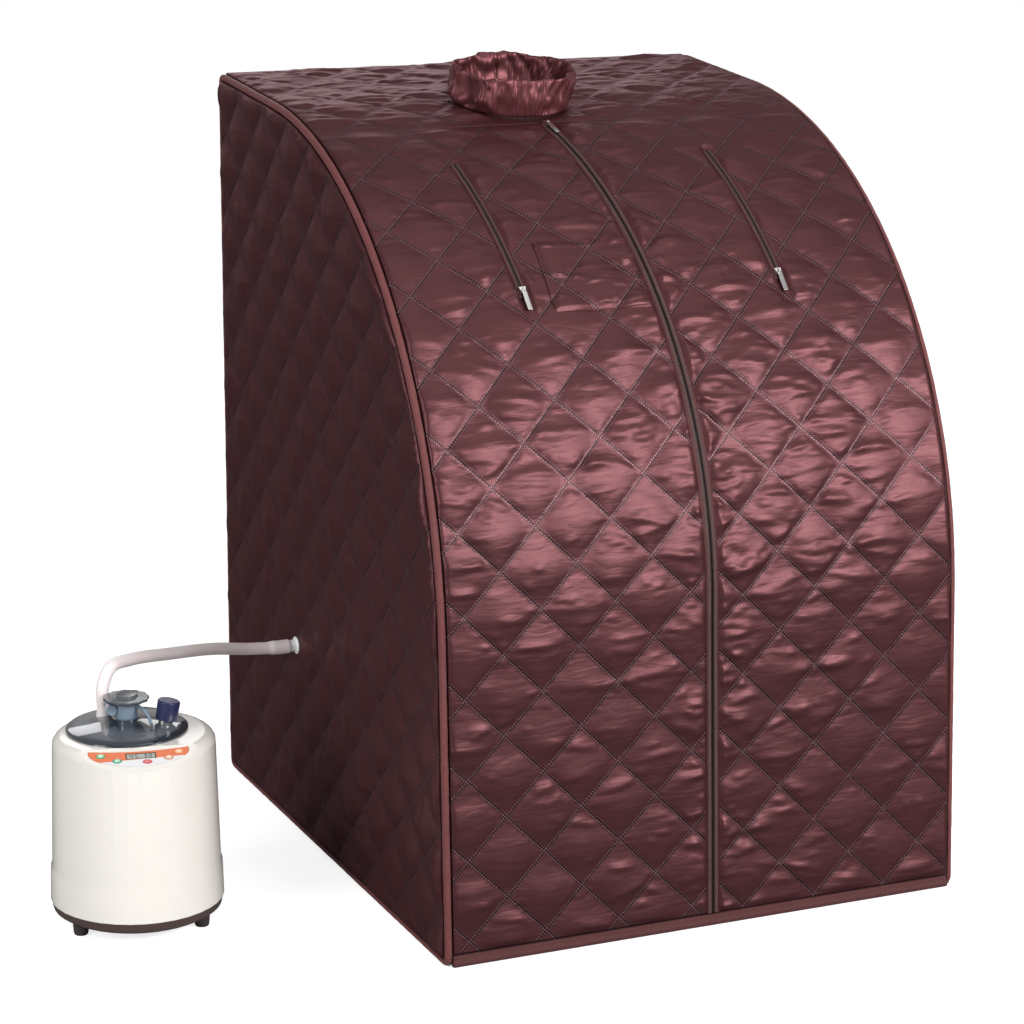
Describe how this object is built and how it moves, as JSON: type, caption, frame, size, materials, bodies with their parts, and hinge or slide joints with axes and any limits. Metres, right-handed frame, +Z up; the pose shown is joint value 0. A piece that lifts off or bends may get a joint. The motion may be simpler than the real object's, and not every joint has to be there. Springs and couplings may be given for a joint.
{
  "type": "portable steam sauna",
  "caption": "Fold-flat quilted satin steam cabin with a curved zipped front, neck collar and arm zips, joined by a hose to a round steam generator.",
  "frame": {"origin": "centre of the cabin footprint, at floor level", "axes": "+Z up; the zipped front faces -Y; the steam port and the steam generator are on the -X side"},
  "size_m": [1.0929, 0.801, 1.0152],
  "materials": {
    "satin": "quilted satin, double stitched in a diamond pattern",
    "piping": "matt woven binding",
    "spring_steel": "blued spring wire",
    "mat_fabric": "coated silver lining fabric",
    "rod_plastic": "drawn plastic tube",
    "elastic": "woven elastic",
    "zip_tape": "woven tape with a reverse coil",
    "zip_metal": "plated, lightly scuffed",
    "white_plastic": "moulded",
    "cream_plastic": "glossy moulded shell",
    "brown_plastic": "satin moulded",
    "black_plastic": "moulded",
    "panel_print": "printed overlay, two colours",
    "display": null,
    "circuit_board": "lacquered board",
    "button_green": "ringed key",
    "button_red": "ringed key",
    "button_orange": "ringed key",
    "rubber": "matt",
    "tank_aluminium": "spun",
    "heater_aluminium": "cast",
    "smoke_lid": "tinted clear plastic, glossy",
    "navy_cap": "glossy, ribbed",
    "silicone": "translucent hose"
  },
  "bodies": {
    "sauna": {"left_side_panel": "satin", "right_side_panel": "satin", "left_hoop": "spring_steel", "left_piping": "piping", "right_hoop": "spring_steel", "right_piping": "piping", "top_panel": "satin", "left_arch_panel": "satin", "right_arch_panel": "satin", "rear_panel": "satin", "front_sill_binding": "piping", "floor_mat": "mat_fabric", "top_rear_rod": "rod_plastic", "middle_rear_rod": "rod_plastic", "bottom_rear_rod": "rod_plastic", "bottom_front_rod": "rod_plastic", "neck_collar": "satin", "neck_elastic": "elastic", "remote_pocket": "satin", "left_zip_tape": "zip_tape", "right_zip_tape": "zip_tape", "left_arm_zip_tape": "zip_tape", "right_arm_zip_tape": "zip_tape", "port_fitting": "white_plastic", "port_nut": "white_plastic", "steam_diffuser": "white_plastic", "steamer_housing": "cream_plastic", "base_skirt": "brown_plastic", "power_inlet": "black_plastic", "control_panel": "panel_print", "display_window": "display", "control_board": "circuit_board", "front_left_foot": "rubber", "front_right_foot": "rubber", "rear_left_foot": "rubber", "rear_right_foot": "rubber", "water_tank": "tank_aluminium", "heater_plate": "heater_aluminium", "thermostat": "black_plastic", "steam_hose": "silicone"},
    "left_flap": {"left_front_flap": "satin", "left_flap_zip_tape": "zip_tape"},
    "right_flap": {"right_front_flap": "satin", "right_flap_zip_tape": "zip_tape"},
    "main_slider": {"main_zip_slider": "zip_metal"},
    "main_pull": {"main_zip_pull": "zip_metal"},
    "left_arm_slider": {"left_arm_zip_slider": "zip_metal"},
    "left_arm_pull": {"left_arm_zip_pull": "zip_metal"},
    "right_arm_slider": {"right_arm_zip_slider": "zip_metal"},
    "right_arm_pull": {"right_arm_zip_pull": "zip_metal"},
    "lid": {"steamer_lid": "smoke_lid", "lid_gasket": "rubber"},
    "herb_cap": {"herb_cap": "smoke_lid"},
    "filler_cap": {"filler_cap": "navy_cap"},
    "menu_button": {"menu_button": "button_green"},
    "start_button": {"start_button": "button_green"},
    "stop_button": {"stop_button": "button_red"},
    "minus_button": {"minus_button": "button_orange"},
    "plus_button": {"plus_button": "button_orange"}
  },
  "joints": [
    {"name": "left_flap_swing", "type": "hinge", "parent": "sauna", "child": "left_flap", "pos_m": [-0.3387, -0.4, 0], "axis": [0, -0.0536, -0.9986], "range_deg": [0, 110]},
    {"name": "right_flap_swing", "type": "hinge", "parent": "sauna", "child": "right_flap", "pos_m": [0.3387, -0.4, 0], "axis": [0, 0.0536, 0.9986], "range_deg": [0, 110]},
    {"name": "main_slider_travel", "type": "hinge", "parent": "sauna", "child": "main_slider", "pos_m": [-0.06819, 0.22152, 0.35974], "axis": [0.9923, 0.1201, -0.0313], "range_deg": [0, 66]},
    {"name": "left_arm_slider_travel", "type": "hinge", "parent": "sauna", "child": "left_arm_slider", "pos_m": [-0.1825, 0.22789, 0.35838], "axis": [-0.9979, -0.0525, -0.0392], "range_deg": [0, 20]},
    {"name": "right_arm_slider_travel", "type": "hinge", "parent": "sauna", "child": "right_arm_slider", "pos_m": [0.167, 0.22789, 0.35838], "axis": [-0.9986, -0.042, -0.0314], "range_deg": [0, 20]},
    {"name": "main_pull_flip", "type": "hinge", "parent": "main_slider", "child": "main_pull", "pos_m": [-0.02797, 0.03989, 0.9431], "axis": [-0.9944, -0.1005, -0.0323], "range_deg": [0, 120]},
    {"name": "left_arm_pull_flip", "type": "hinge", "parent": "left_arm_slider", "child": "left_arm_pull", "pos_m": [-0.17558, -0.21948, 0.77921], "axis": [-0.9979, -0.0442, -0.047], "range_deg": [0, 150]},
    {"name": "right_arm_pull_flip", "type": "hinge", "parent": "right_arm_slider", "child": "right_arm_pull", "pos_m": [0.17254, -0.21948, 0.77921], "axis": [-0.9987, -0.0354, -0.0376], "range_deg": [0, 150]},
    {"name": "lid_lift", "type": "slide", "parent": "sauna", "child": "lid", "axis": [0, 0, 1], "range_m": [0, 0.08], "deforming": ["steam_hose"]},
    {"name": "herb_cap_twist", "type": "hinge", "parent": "lid", "child": "herb_cap", "pos_m": [-0.64014, -0.07583, 0.28], "axis": [0, 0, 1], "range_deg": [0, 60]},
    {"name": "filler_cap_lift", "type": "slide", "parent": "lid", "child": "filler_cap", "axis": [0.1699, -0.0361, 0.9848], "range_m": [0, 0.03]},
    {"name": "menu_press", "type": "slide", "parent": "sauna", "child": "menu_button", "axis": [0.0846, 0.3978, -0.9135], "range_m": [0, 0.0008]},
    {"name": "start_press", "type": "slide", "parent": "sauna", "child": "start_button", "axis": [0.0846, 0.3978, -0.9135], "range_m": [0, 0.0008]},
    {"name": "stop_press", "type": "slide", "parent": "sauna", "child": "stop_button", "axis": [0.0846, 0.3978, -0.9135], "range_m": [0, 0.0008]},
    {"name": "minus_press", "type": "slide", "parent": "sauna", "child": "minus_button", "axis": [0.0846, 0.3978, -0.9135], "range_m": [0, 0.0008]},
    {"name": "plus_press", "type": "slide", "parent": "sauna", "child": "plus_button", "axis": [0.0846, 0.3978, -0.9135], "range_m": [0, 0.0008]}
  ]
}
